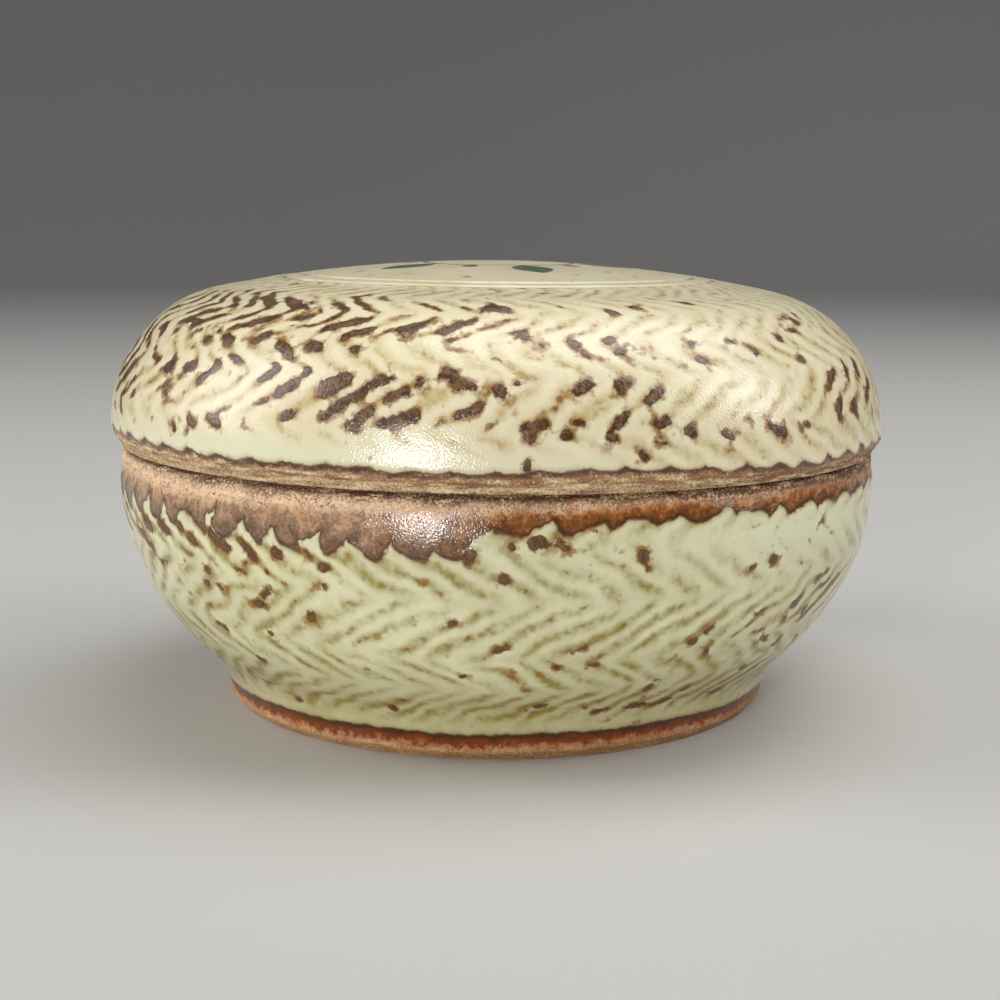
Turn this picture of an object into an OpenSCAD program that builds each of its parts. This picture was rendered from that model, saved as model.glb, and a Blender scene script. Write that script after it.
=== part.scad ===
// Round lidded incense box of thrown stoneware: a low bowl on a turned foot ring, and a domed lid
// that drops over the bowl's standing flange and seats on its rim. Each piece is a shell of
// revolution, drawn as a half section of arcs and revolved about Z.
// Millimetres. The origin is the middle of the foot's resting plane, and +Z is up.

/* [Bowl] */
// Outer radius of the bowl at its widest
belly_radius = 36.65; // [33:0.05:40]
// Height of the rim, where the lid seats, above the table
rim_height = 25; // [21:0.1:29]
// How far the widest part of the bowl lies below the rim
belly_drop = 2.5; // [1:0.1:4]
// Thickness of the bowl's side at its widest
bowl_wall = 4.4; // [3.8:0.1:5.5]
// Thickness of the floor above the foot's recess
floor_thickness = 3.8; // [3:0.1:5]
// Radius where the floor turns up into the side, inside the bowl
hollow_curve = 16; // [12:0.1:18]
// Bevel round the rim's outer edge
rim_bevel = 0.4; // [0.2:0.05:0.7]

/* [Foot ring] */
// Outer radius of the foot ring
foot_radius = 26.7; // [23:0.1:30]
// Width of the foot ring
foot_width = 4.2; // [3:0.1:6]
// Depth of the recess inside the foot ring
foot_recess = 2.4; // [1:0.1:3.5]
// Bevel on both edges of the foot ring
foot_bevel = 0.8; // [0.3:0.05:1.2]
// Height of the upright edge between the bevel and the cove
foot_land = 0.2; // [0.1:0.05:2]
// Radius of the cove that blends the foot into the bowl
foot_cove = 5.8; // [3:0.1:8]

/* [Flange] */
// Thickness of the standing flange that locates the lid
flange_wall = 2; // [1.4:0.1:2.4]
// Height of the flange above the rim
flange_rise = 3.4; // [2:0.1:5]
// Gap all round between the flange and the lid
lid_gap = 0.4; // [0.2:0.05:0.6]
// Gap between the top of the flange and the lid's rebate
head_gap = 0.6; // [0.3:0.05:1.2]

/* [Lid] */
// How far the lid stands out past the rim
lid_overhang = 0.75; // [0.4:0.05:1.5]
// Height of the lid's widest part above the rim
lid_belly = 1.85; // [1.5:0.05:4]
// Height of the bare bevel under the lid's edge
lip_bevel = 1.1; // [0.5:0.05:1.4]
// Radius of the lid's shoulder
shoulder_curve = 13.1; // [10:0.1:16]
// Rise of the crown above the shoulder
crown_rise = 2.35; // [1:0.05:5]
// Thickness of the lid
lid_wall = 4; // [2.8:0.1:5]

/* [Roundel] */
// Radius of the outer of the two rings cut round the top
ring_radius = 20.8; // [14:0.1:24]
// Distance between the two rings
ring_spacing = 1.8; // [0.8:0.1:3]
// Width of each ring's groove
ring_width = 0.5; // [0.3:0.05:0.8]

/* [Hidden] */
$fn = 128;

// Colours of the two glazed pieces
body_colour = [0.74, 0.72, 0.56];
lid_colour = [0.71, 0.68, 0.53];

// The bowl's side is one arc, upright at its widest and touching the foot's cove
belly_height = rim_height - belly_drop;
cove_centre = [foot_radius + foot_cove, foot_bevel + foot_land];
cove_reach = cove_centre.x - belly_radius;
cove_fall = belly_height - cove_centre.y;
bowl_curve = (cove_reach ^ 2 + cove_fall ^ 2 - foot_cove ^ 2) / (2 * (foot_cove - cove_reach));
bowl_centre = [belly_radius - bowl_curve, belly_height];
cove_touch = cove_centre + (bowl_centre - cove_centre) * foot_cove / (bowl_curve + foot_cove);
rim_radius = bowl_centre.x + sqrt(bowl_curve ^ 2 - belly_drop ^ 2);

// The hollow's side runs straight up into the flange, and the lid's rebate clears the flange
hollow_radius = belly_radius - bowl_wall;
floor_height = foot_recess + floor_thickness;
flange_radius = hollow_radius + flange_wall;
flange_top = rim_height + flange_rise;
rebate_radius = flange_radius + lid_gap;
rebate_top = flange_top + head_gap;

// The lid's shoulder arc is upright at its widest, and the crown is a wide arc that touches it
lid_radius = rim_radius + lid_overhang;
shoulder_centre = [lid_radius - shoulder_curve, rim_height + lid_belly];
lid_top = shoulder_centre.y + shoulder_curve + crown_rise;
crown_chord = shoulder_centre.x ^ 2 + 2 * shoulder_curve * crown_rise + crown_rise ^ 2;
crown_curve = crown_chord / (2 * crown_rise);
crown_centre = [0, lid_top - crown_curve];
crown_edge = shoulder_centre.x * crown_curve / (crown_curve - shoulder_curve);

// Height of the lid's outer face at a distance from the axis
function lid_face(r) = r < crown_edge
    ? crown_centre.y + sqrt(crown_curve ^ 2 - r ^ 2)
    : shoulder_centre.y + sqrt(shoulder_curve ^ 2 - (r - shoulder_centre.x) ^ 2);

// Triangle that takes a bevel off a corner: across by one leg, along the axis by the other
module corner_cut(corner, across, along) {
    polygon([corner, corner + [across, 0], corner + [0, along]]);
}

// Half section of the bowl and foot as one solid, before it is hollowed
module bowl_outside() {
    intersection() {
        union() {
            translate(bowl_centre) circle(bowl_curve);
            square([max(bowl_centre.x, foot_radius), belly_height]);
        }
        square([belly_radius, rim_height]);
    }
    difference() {
        polygon([[foot_radius, cove_centre.y], cove_centre, cove_touch, [foot_radius, cove_touch.y]]);
        translate(cove_centre) circle(foot_cove);
    }
}

// Half section of the standing flange, rounded along its top
module flange_outside() {
    tip = flange_wall / 2;
    translate([hollow_radius, belly_height]) square([flange_wall, flange_top - tip - belly_height]);
    translate([hollow_radius + tip, flange_top - tip]) circle(tip);
}

// Half section of the space inside the bowl
module bowl_hollow() {
    turn = [hollow_radius - hollow_curve, floor_height + hollow_curve];
    translate([0, turn.y]) square([hollow_radius, flange_top - turn.y]);
    translate([0, floor_height]) square([turn.x, hollow_curve]);
    intersection() {
        translate(turn) circle(hollow_curve);
        translate([turn.x, floor_height]) square(hollow_curve);
    }
}

// Half section of the recess under the foot, with the foot ring's two bevels
module foot_cuts() {
    inner = foot_radius - foot_width;
    square([inner, foot_recess]);
    corner_cut([inner, 0], foot_bevel, foot_bevel);
    corner_cut([foot_radius, 0], -foot_bevel, foot_bevel);
}

// Half section of the lid within its crown and shoulder arcs, drawn in by an inset
module lid_outside(inset) {
    reach = crown_curve + shoulder_curve;
    translate([0, rim_height]) square([lid_radius - inset, lid_belly]);
    intersection() {
        translate(shoulder_centre) circle(shoulder_curve - inset);
        translate([0, shoulder_centre.y]) square(reach);
    }
    intersection() {
        translate(crown_centre) circle(crown_curve - inset);
        polygon([
            [0, shoulder_centre.y],
            shoulder_centre,
            crown_centre + (shoulder_centre - crown_centre) * reach / norm(shoulder_centre - crown_centre),
            [0, lid_top]
        ]);
    }
}

// Half section of the two grooves cut round the roundel
module ring_cuts() {
    for (radius = [ring_radius, ring_radius - ring_spacing])
        translate([radius, lid_face(radius)]) circle(d = ring_width);
}

module body() {
    color(body_colour)
        rotate_extrude()
            difference() {
                union() {
                    bowl_outside();
                    flange_outside();
                }
                bowl_hollow();
                foot_cuts();
                corner_cut([rim_radius + rim_bevel, rim_height], -2 * rim_bevel, -2 * rim_bevel);
            }
}

module lid() {
    color(lid_colour)
        rotate_extrude()
            difference() {
                lid_outside(0);
                lid_outside(lid_wall);
                translate([0, rim_height]) square([rebate_radius, rebate_top - rim_height]);
                corner_cut([lid_radius, rim_height], -lid_overhang, lip_bevel);
                ring_cuts();
            }
}

body();
lid();
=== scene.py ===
# %% [markdown]
# # A round incense box in rope-inlaid stoneware
# The real box is two fired pieces: a low bowl on a turned foot, and a domed lid that drops over a flange.
# While the clay was soft, a cord-wound roller was run round it in bands, white slip was rubbed into the
# marks, and an ash glaze went over all but the rim, the lip and the foot. This lesson sweeps each piece
# round its axis as a dense mesh with real relief, and then paints the inlay, the iron spots, the glaze
# edges and the bare clay with shader nodes, so that they stay sharp from close by.

import math

import bpy
import numpy as np
from mathutils import Matrix, Vector


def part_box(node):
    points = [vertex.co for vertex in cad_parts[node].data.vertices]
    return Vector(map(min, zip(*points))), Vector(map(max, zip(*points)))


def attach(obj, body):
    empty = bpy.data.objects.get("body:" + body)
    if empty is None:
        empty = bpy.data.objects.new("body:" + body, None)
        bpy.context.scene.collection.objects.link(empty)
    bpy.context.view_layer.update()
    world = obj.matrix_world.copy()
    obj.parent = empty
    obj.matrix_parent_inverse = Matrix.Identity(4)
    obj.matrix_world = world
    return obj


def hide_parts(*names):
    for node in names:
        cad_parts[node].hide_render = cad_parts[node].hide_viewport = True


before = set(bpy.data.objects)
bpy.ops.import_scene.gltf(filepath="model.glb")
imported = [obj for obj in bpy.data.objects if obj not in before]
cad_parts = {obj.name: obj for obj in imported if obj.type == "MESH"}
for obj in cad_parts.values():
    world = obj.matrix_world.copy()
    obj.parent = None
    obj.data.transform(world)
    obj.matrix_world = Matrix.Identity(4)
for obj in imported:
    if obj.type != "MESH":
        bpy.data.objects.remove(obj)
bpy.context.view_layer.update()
MM = 0.001

# %% [markdown]
# ## Camera
# The picture was taken from close by, a little above the lid, with a medium lens. The camera comes first,
# so that every later choice can be judged from the same place. Its distance and lens go together: they
# set how much the front of the box swells towards the viewer.

# %% Camera
FOCAL_PIXELS = 1775
PICTURE_PIXELS = 1000
SENSOR_WIDTH = 36
CAMERA_SIDE = 0.325
CAMERA_BACK = 174.64
CAMERA_HEIGHT = 47.545
CAMERA_PITCH = math.radians(9.397)
CAMERA_ROLL = math.radians(0.424)


def show(thing):
    """Puts an object in the scene."""
    bpy.context.scene.collection.objects.link(thing)
    return thing


camera = show(bpy.data.objects.new("camera", bpy.data.cameras.new("camera")))
camera.data.sensor_width = SENSOR_WIDTH
camera.data.lens = SENSOR_WIDTH * FOCAL_PIXELS / PICTURE_PIXELS
camera.data.clip_start = 0.01
stand = Matrix.Translation(Vector((CAMERA_SIDE, -CAMERA_BACK, CAMERA_HEIGHT)) * MM)
pitch = Matrix.Rotation(math.radians(90) - CAMERA_PITCH, 4, "X")
camera.matrix_world = stand @ pitch @ Matrix.Rotation(CAMERA_ROLL, 4, "Z")
bpy.context.scene.camera = camera
bpy.context.scene.view_settings.view_transform = "Standard"
print("lens in mm:", round(camera.data.lens, 1))

# %% [markdown]
# ## Floor and light
# A glossy pot shows the room it stands in, so the room is kept plain: a pale floor that curves up into a
# wall all round, a large soft light over the lid, one at each side, and a small one beside the camera. A
# grid narrows the small one's beam, so that it leaves no bright patch on the floor. A single lamp would
# be simpler, but the broad streaks on the shoulder come from lights with real width.

# %% Floor
FLOOR_COLOUR = (0.58, 0.57, 0.55, 1)
FLOOR_ROUGHNESS = 0.75
FLOOR_RADIUS = 0.9
WALL_BEND = 0.6
FLOOR_COLUMNS = 96


def floor_section():
    """Half section of the floor and the wall that it bends up into, in metres."""
    flat = [(0.02, 0), (0.2, 0), (0.5, 0)]
    angles = np.radians(np.linspace(-90, -5, 14))
    rise = [(FLOOR_RADIUS + WALL_BEND * math.cos(a), WALL_BEND + WALL_BEND * math.sin(a)) for a in angles]
    return flat + rise


def build_floor():
    """The floor as one mesh, with a small polygon that closes its middle."""
    section = floor_section()
    turns = np.arange(FLOOR_COLUMNS) * 2 * math.pi / FLOOR_COLUMNS
    points = [(r * math.cos(t), r * math.sin(t), z) for r, z in section for t in turns]
    faces = [tuple(range(FLOOR_COLUMNS))]
    for ring in range(len(section) - 1):
        for column in range(FLOOR_COLUMNS):
            here = ring * FLOOR_COLUMNS + column
            after = ring * FLOOR_COLUMNS + (column + 1) % FLOOR_COLUMNS
            faces.append((here, here + FLOOR_COLUMNS, after + FLOOR_COLUMNS, after))
    mesh = bpy.data.meshes.new("floor")
    mesh.from_pydata(points, [], faces)
    mesh.shade_smooth()
    return show(bpy.data.objects.new("floor", mesh))


floor = build_floor()
floor_paint = bpy.data.materials.new("pale floor")
floor_paint.use_nodes = True
floor_shader = floor_paint.node_tree.nodes["Principled BSDF"]
floor_shader.inputs["Base Color"].default_value = FLOOR_COLOUR
floor_shader.inputs["Roughness"].default_value = FLOOR_ROUGHNESS
floor.data.materials.append(floor_paint)
print("floor faces:", len(floor.data.polygons))

# %% Lights
LIGHT_AIM = Vector((0, 0, 0.024))
WORLD_COLOUR = (1, 1, 1, 1)
WORLD_STRENGTH = 0.13


def softbox(name, azimuth, elevation, distance, wide, tall, power, spread=180):
    """A flat soft light that faces the box. Azimuth 0 is in front, 90 at the right, in degrees. A spread
    below 180 narrows its beam, as a grid on a real one does."""
    data = bpy.data.lights.new(name, "AREA")
    data.shape = "RECTANGLE"
    data.size = wide
    data.size_y = tall
    data.energy = power
    data.spread = math.radians(spread)
    round_by = math.radians(azimuth)
    up_by = math.radians(elevation)
    level = math.cos(up_by)
    away = Vector((math.sin(round_by) * level, -math.cos(round_by) * level, math.sin(up_by)))
    lamp = show(bpy.data.objects.new(name, data))
    lamp.location = LIGHT_AIM + away * distance
    lamp.rotation_mode = "QUATERNION"
    lamp.rotation_quaternion = away.to_track_quat("Z", "Y")
    lamp.visible_camera = False
    return lamp


lamps = [
    softbox("over the lid", 112, 73, 0.55, 0.36, 0.55, 1.80),
    softbox("left side", -86, 31, 0.60, 0.32, 0.40, 1.52),
    softbox("right side", 83, 31, 0.60, 0.23, 0.32, 1.25),
    softbox("beside the camera", -22, 8, 0.75, 0.135, 0.16, 0.112, 36),
]
world = bpy.data.worlds.new("soft room")
world.use_nodes = True
world.node_tree.nodes["Background"].inputs["Color"].default_value = WORLD_COLOUR
world.node_tree.nodes["Background"].inputs["Strength"].default_value = WORLD_STRENGTH
bpy.context.scene.world = world
print("lamps in watts:", {lamp.name: lamp.data.energy for lamp in lamps})

# %% [markdown]
# ## Half sections
# Both pieces were thrown on a wheel, so each is a half section swept round one axis. The sections here
# repeat the sizes of the CAD solids, in millimetres, and take the main ones from the frame. Screw or Spin
# modifiers could sweep them, but then every ring has the same number of points; building the rings in
# code lets the decorated outside have four times as many as the plain inside.

# %% Sizes from the frame
body_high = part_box("body")[1] / MM
lid_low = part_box("lid")[0] / MM
lid_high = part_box("lid")[1] / MM
BELLY_RADIUS = body_high.x
FLANGE_TOP = body_high.z
RIM_HEIGHT = lid_low.z
LID_RADIUS = lid_high.x
LID_TOP = lid_high.z
print("rim at", round(RIM_HEIGHT, 2), "mm, lid", round(2 * LID_RADIUS, 2), "mm across")


# %% Section helpers
def straight(start, end, step):
    """Points from start towards end, about a step apart, without the end."""
    count = max(1, round(math.dist(start, end) / step))
    share = np.arange(count)[:, None] / count
    return np.array(start) * (1 - share) + np.array(end) * share


def bend(centre, radius, first, last, step):
    """Points on an arc from one angle to another in degrees, about a step apart, without the last."""
    count = max(2, round(abs(math.radians(last - first)) * radius / step))
    angle = np.radians(first + (last - first) * np.arange(count) / count)
    return np.array(centre) + radius * np.stack([np.cos(angle), np.sin(angle)], axis=1)


def angle_to(centre, point):
    """Direction from a centre to a point, in degrees."""
    return math.degrees(math.atan2(point[1] - centre[1], point[0] - centre[0]))


def join(pieces):
    """One section from stretches of (zone, columns, points), its sharp corners eased a little."""
    points = np.concatenate([stretch[2] for stretch in pieces])
    for _ in range(2):
        points[1:-1] = (points[:-2] + 2 * points[1:-1] + points[2:]) / 4
    zone = np.concatenate([[stretch[0]] * len(stretch[2]) for stretch in pieces])
    columns = np.concatenate([[stretch[1]] * len(stretch[2]) for stretch in pieces])
    gaps = np.hypot(*np.diff(points, axis=0).T)
    return {"points": points, "zone": zone, "columns": columns, "along": np.append(0, np.cumsum(gaps))}


# %% Section of the bowl
BELLY_DROP = 2.5
HOLLOW_RADIUS = BELLY_RADIUS - 4.4
HOLLOW_CURVE = 16
FLOOR_HEIGHT = 6.2
FLANGE_RADIUS = HOLLOW_RADIUS + 2
FOOT_RADIUS = 26.7
FOOT_INNER = FOOT_RADIUS - 4.2
FOOT_BEVEL = 0.8
FOOT_RECESS = 2.4
FOOT_COVE = 5.8
RIM_BEVEL = 0.4
FINE = 768
MEDIUM = 384
COARSE = 192

belly_height = RIM_HEIGHT - BELLY_DROP
cove_centre = (FOOT_RADIUS + FOOT_COVE, FOOT_BEVEL + 0.2)
cove_reach = cove_centre[0] - BELLY_RADIUS
cove_fall = belly_height - cove_centre[1]
bowl_curve = (cove_reach**2 + cove_fall**2 - FOOT_COVE**2) / (2 * (FOOT_COVE - cove_reach))
bowl_centre = (BELLY_RADIUS - bowl_curve, belly_height)
touch_angle = angle_to(cove_centre, bowl_centre)
rim_radius = bowl_centre[0] + math.sqrt(bowl_curve**2 - BELLY_DROP**2)
rim_angle = math.degrees(math.asin((BELLY_DROP - RIM_BEVEL) / bowl_curve))
rim_edge = (bowl_centre[0] + bowl_curve * math.cos(math.radians(rim_angle)), RIM_HEIGHT - RIM_BEVEL)
flange_middle = (HOLLOW_RADIUS + 1, FLANGE_TOP - 1)
hollow_turn = (HOLLOW_RADIUS - HOLLOW_CURVE, FLOOR_HEIGHT + HOLLOW_CURVE)

bowl = join([
    ("inside", 1, np.array([[0.0, FLOOR_HEIGHT]])),
    ("inside", COARSE, straight((0.6, FLOOR_HEIGHT), (hollow_turn[0], FLOOR_HEIGHT), 1.4)),
    ("inside", COARSE, bend(hollow_turn, HOLLOW_CURVE, -90, 0, 1.0)),
    ("inside", COARSE, straight((HOLLOW_RADIUS, hollow_turn[1]), (HOLLOW_RADIUS, flange_middle[1]), 0.6)),
    ("flange", COARSE, bend(flange_middle, 1, 180, 0, 0.26)),
    ("flange", COARSE, straight((FLANGE_RADIUS, flange_middle[1]), (FLANGE_RADIUS, RIM_HEIGHT), 0.4)),
    ("seat", MEDIUM, straight((FLANGE_RADIUS, RIM_HEIGHT), (rim_radius - 0.6, RIM_HEIGHT), 0.4)),
    ("rim", FINE, straight((rim_radius - 0.6, RIM_HEIGHT), (rim_radius - RIM_BEVEL, RIM_HEIGHT), 0.2)),
    ("rim", FINE, straight((rim_radius - RIM_BEVEL, RIM_HEIGHT), rim_edge, 0.19)),
    ("side", FINE, bend(bowl_centre, bowl_curve, rim_angle, touch_angle - 180, 0.31)),
    ("side", FINE, bend(cove_centre, FOOT_COVE, touch_angle, 180, 0.27)),
    ("foot", FINE, straight((FOOT_RADIUS, cove_centre[1]), (FOOT_RADIUS, FOOT_BEVEL), 0.1)),
    ("foot", FINE, straight((FOOT_RADIUS, FOOT_BEVEL), (FOOT_RADIUS - FOOT_BEVEL, 0), 0.16)),
    ("rest", MEDIUM, straight((FOOT_RADIUS - FOOT_BEVEL, 0), (FOOT_INNER + FOOT_BEVEL, 0), 0.45)),
    ("rest", COARSE, straight((FOOT_INNER + FOOT_BEVEL, 0), (FOOT_INNER, FOOT_BEVEL), 0.3)),
    ("under", COARSE, straight((FOOT_INNER, FOOT_BEVEL), (FOOT_INNER, FOOT_RECESS), 0.4)),
    ("under", COARSE, straight((FOOT_INNER, FOOT_RECESS), (0.6, FOOT_RECESS), 1.3)),
    ("under", 1, np.array([[0.0, FOOT_RECESS]])),
])
print("bowl rings:", len(bowl["zone"]), "curve", round(bowl_curve, 2))

# %% Section of the lid
SHOULDER_CURVE = 13.1
CROWN_RISE = 2.35
LID_WALL = 4
LIP_BEVEL = 1.1
REBATE_RADIUS = FLANGE_RADIUS + 0.4
REBATE_TOP = FLANGE_TOP + 0.6
SEAT_CLEAR = 0.04
RING_RADIUS = 20.8
RING_SPACING = 1.8
RING_WIDTH = 0.5

shoulder = (LID_RADIUS - SHOULDER_CURVE, LID_TOP - CROWN_RISE - SHOULDER_CURVE)
crown_curve = (shoulder[0] ** 2 + 2 * SHOULDER_CURVE * CROWN_RISE + CROWN_RISE**2) / (2 * CROWN_RISE)
crown_centre = (0, LID_TOP - crown_curve)
crown_turn = angle_to(crown_centre, shoulder)
lip_top = RIM_HEIGHT + LIP_BEVEL
inner_shoulder = SHOULDER_CURVE - LID_WALL
rebate_turn = math.degrees(math.asin((REBATE_TOP - shoulder[1]) / inner_shoulder))
rebate_start = shoulder[0] + inner_shoulder * math.cos(math.radians(rebate_turn))
seat_height = RIM_HEIGHT + SEAT_CLEAR


def crown(radius):
    """Angle on the crown's arc at a distance from the axis, in degrees."""
    return math.degrees(math.acos(radius / crown_curve))


lid = join([
    ("roundel", 1, np.array([[0.0, LID_TOP]])),
    ("roundel", COARSE, bend(crown_centre, crown_curve, crown(0.6), crown(9), 0.9)),
    ("roundel", MEDIUM, bend(crown_centre, crown_curve, crown(9), crown(18.2), 0.6)),
    ("rings", FINE, bend(crown_centre, crown_curve, crown(18.2), crown(21.6), 0.15)),
    ("side", FINE, bend(crown_centre, crown_curve, crown(21.6), crown_turn, 0.36)),
    ("side", FINE, bend(shoulder, SHOULDER_CURVE, crown_turn, 0, 0.33)),
    ("lip", FINE, straight((LID_RADIUS, shoulder[1]), (LID_RADIUS, lip_top), 0.19)),
    ("lip", FINE, straight((LID_RADIUS, lip_top), (rim_radius, seat_height), 0.19)),
    ("seat", MEDIUM, straight((rim_radius, seat_height), (REBATE_RADIUS, seat_height), 0.4)),
    ("seat", COARSE, straight((REBATE_RADIUS, seat_height), (REBATE_RADIUS, REBATE_TOP), 0.5)),
    ("seat", COARSE, straight((REBATE_RADIUS, REBATE_TOP), (rebate_start, REBATE_TOP), 0.4)),
    ("inside", COARSE, bend(shoulder, inner_shoulder, rebate_turn, crown_turn, 0.9)),
    ("inside", COARSE, bend(crown_centre, crown_curve - LID_WALL, crown_turn, crown(0.6), 1.3)),
    ("inside", 1, np.array([[0.0, LID_TOP - LID_WALL]])),
])
print("lid rings:", len(lid["zone"]), "crown curve", round(crown_curve, 1))

# %% [markdown]
# ## Sweeping a section
# Each ring of the section becomes a circle of points. Rings with the same count are joined by four-sided
# faces; where the count halves or doubles, three triangles join each coarse step to two fine ones; and a
# ring of one point closes the sweep at the axis. Each face corner also keeps its turn, a share of a full
# turn that runs on past 1 at the seam, because the rope pattern needs a coordinate that doesn't jump
# back.


# %% Sweep
def seam_corners(start, count, column):
    """Vertex numbers and turns of some columns of a ring. The column after the last is the first again."""
    return start + np.floor(column).astype(int) % count, column / count


def stitch(first, second):
    """Face corners between two rings, each (start, count), as a vertex table and a turn table."""
    if first[1] < second[1]:
        return [table[:, ::-1] for table in stitch(second, first)]
    column = np.arange(first[1] if second[1] == 1 else second[1])
    if second[1] == 1:
        fans = [[(first, column), (second, (column + 0.5) / first[1]), (first, column + 1)]]
    elif first[1] == second[1]:
        fans = [[(first, column), (second, column), (second, column + 1), (first, column + 1)]]
    else:
        fans = [
            [(first, 2 * column), (second, column), (first, 2 * column + 1)],
            [(first, 2 * column + 1), (second, column), (second, column + 1)],
            [(first, 2 * column + 1), (second, column + 1), (first, 2 * column + 2)],
        ]
    tables = [[], []]
    for fan in fans:
        corners = [seam_corners(*ring, at) for ring, at in fan]
        for part in (0, 1):
            tables[part].append(np.stack([corner[part] for corner in corners], axis=1))
    return [np.concatenate(table) for table in tables]


def sweep(section):
    """Points and faces of a section swept round the axis, with each point's ring, turn and place."""
    counts = section["columns"]
    starts = np.append(0, np.cumsum(counts))
    ring = np.repeat(np.arange(len(counts)), counts)
    turn = (np.arange(starts[-1]) - starts[ring]) / counts[ring]
    turn[counts[ring] == 1] = 0.5
    faces = []
    corner_turn = []
    for at in range(len(counts) - 1):
        table = stitch((starts[at], counts[at]), (starts[at + 1], counts[at + 1]))
        faces.extend(table[0].tolist())
        corner_turn.append(table[1].ravel())
    slope = np.gradient(section["points"], axis=0)
    slope /= np.hypot(*slope.T)[:, None]
    return {
        "faces": faces,
        "corner_turn": np.concatenate(corner_turn),
        "turn": turn,
        "azimuth": 360 * turn - 180,
        "radius": section["points"][ring, 0],
        "height": section["points"][ring, 1],
        "out": -slope[ring, 1],
        "up": slope[ring, 0],
        "along": section["along"][ring],
        "zone": section["zone"][ring],
    }


bowl_shell = sweep(bowl)
lid_shell = sweep(lid)
for title, shell in (("bowl", bowl_shell), ("lid", lid_shell)):
    triangles = sum(len(face) - 2 for face in shell["faces"])
    print(title, "points", len(shell["turn"]), "triangles", triangles)

# %% [markdown]
# ## Hand work as smooth fields
# Nothing on the real box is quite even: the wall wavers, the roller wanders, the iron gathers in patches,
# and spots burn through where they like. Each of these is a smooth field over the surface. A noise
# texture could make them, but a sum of a few cosines closes without a seam and serves the mesh as well as
# the paint.


# %% Field helpers
END_TAPER = 0.25


def wander(turn, along, seed, turns=(1, 5), reach=16.0, count=8):
    """Smooth wobble, mostly within -1 to 1, that closes round the piece. The reach is in mm."""
    draw = np.random.default_rng(seed)
    total = np.zeros_like(turn)
    for _ in range(count):
        around = draw.integers(turns[0], turns[1] + 1)
        rate = draw.normal() / reach
        total += np.cos(2 * np.pi * (around * turn + rate * along + draw.random()))
    return total / math.sqrt(count)


def quick_wander(turn, along, seed):
    """Wobble at the scale of a stroke or two."""
    return wander(turn, along, seed, turns=(9, 46), reach=7.0, count=26)


def smooth(value, low, high):
    """0 below low, 1 above high, and a smooth step between."""
    share = np.clip((value - low) / (high - low), 0, 1)
    return share * share * (3 - 2 * share)


def round_list(azimuth, stations):
    """A value that follows (azimuth, value) stations round the piece."""
    places, values = np.array(stations, float).T
    return np.interp(azimuth, places, values, period=360)


def apart(azimuth, centre):
    """Signed difference of two azimuths, from -180 to 180 degrees."""
    return (azimuth - centre + 180) % 360 - 180


def patches(azimuth, along, places):
    """Soft patches: each has its azimuth, its place along, half-widths in degrees and mm, and a weight."""
    total = np.zeros_like(azimuth)
    for centre, level, wide, tall, weight in places:
        falloff = np.exp(-((apart(azimuth, centre) / wide) ** 2) - ((along - level) / tall) ** 2)
        total = np.maximum(total, weight * falloff)
    return total


def marks(azimuth, along, radius, places):
    """How far each point lies inside the placed marks, in mm, less than 0 outside. Each mark is a bar with
    narrow ends: its azimuth, its place along, length and width in mm, and its lean in degrees."""
    field = np.full_like(azimuth, -1.0)
    for centre, level, length, width, lean in places:
        across = np.radians(apart(azimuth, centre)) * radius
        rise = along - level
        cos_lean = math.cos(math.radians(lean))
        sin_lean = math.sin(math.radians(lean))
        lengthwise = np.abs(across * cos_lean + rise * sin_lean)
        sideways = rise * cos_lean - across * sin_lean
        half_wide = width / 2 * (1 - END_TAPER * np.minimum(2 * lengthwise / length, 1) ** 2)
        past_end = np.maximum(lengthwise - (length - width) / 2, 0)
        field = np.maximum(field, half_wide - np.hypot(past_end, sideways))
    return field


# %% [markdown]
# ## The rope rows
# A cord-wound roller leaves slanting strokes, and rolling the next band the other way turns them into a
# herringbone. So the pattern needs only one number at each point: how many strokes round the piece it
# lies, shifted one way and then back along the section. It is kept in a UV map with the place along the
# section, so that the shader can draw the strokes at each pixel, and the mesh uses the same number for
# its relief.


# %% Rope formula
STROKES_PER_MM = 0.435
TURN_EASE = 0.35
UPRIGHT = 0.7
TURN_JITTER = 0.3
GAP_POWER = 1.15


def zigzag(along, turns):
    """How far strokes have run one way less how far back, in mm, if they turn at these places."""
    places = np.array(turns, float)
    heights = np.append(0, np.cumsum(np.diff(places) * (-1.0) ** np.arange(len(places) - 1)))
    heights -= heights[1]
    before, here, after = (np.interp(along + ease, places, heights) for ease in (-TURN_EASE, 0, TURN_EASE))
    return (before + 2 * here + after) / 4


def turning(along, turns):
    """1 where strokes turn back, 0 along their straight runs."""
    nearest = np.min([np.abs(along - place) for place in turns], axis=0)
    return 1 - smooth(nearest, 0, 3 * TURN_EASE)


def edge_wave(phase, scallop):
    """How strokes shift the glaze's edge, -1 to 1: as teeth, or where scallop is 1 as notched arches."""
    teeth = 1 - 2 * np.abs(np.sin(np.pi * phase))
    return teeth + scallop * (2 * np.abs(np.cos(np.pi * phase)) - 1 - teeth)


print("strokes per mm along the section:", STROKES_PER_MM)

# %% [markdown]
# ## The bowl's own fields
# Places on the bowl's outside are given by their drop, the distance down the wall from the rim. The glaze
# stops short of the rim and the foot: first bare clay, then a glossy brown band where iron bled out of
# the clay, and then the pale glaze, whose edge follows the ends of the slip strokes like teeth. The
# fields could be painted on by hand, but a list of places that code turns into fields is easier to mend.
# Clay that is hidden inside or underneath is marked too, because no fumes reached it and it kept one even
# colour.

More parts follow.
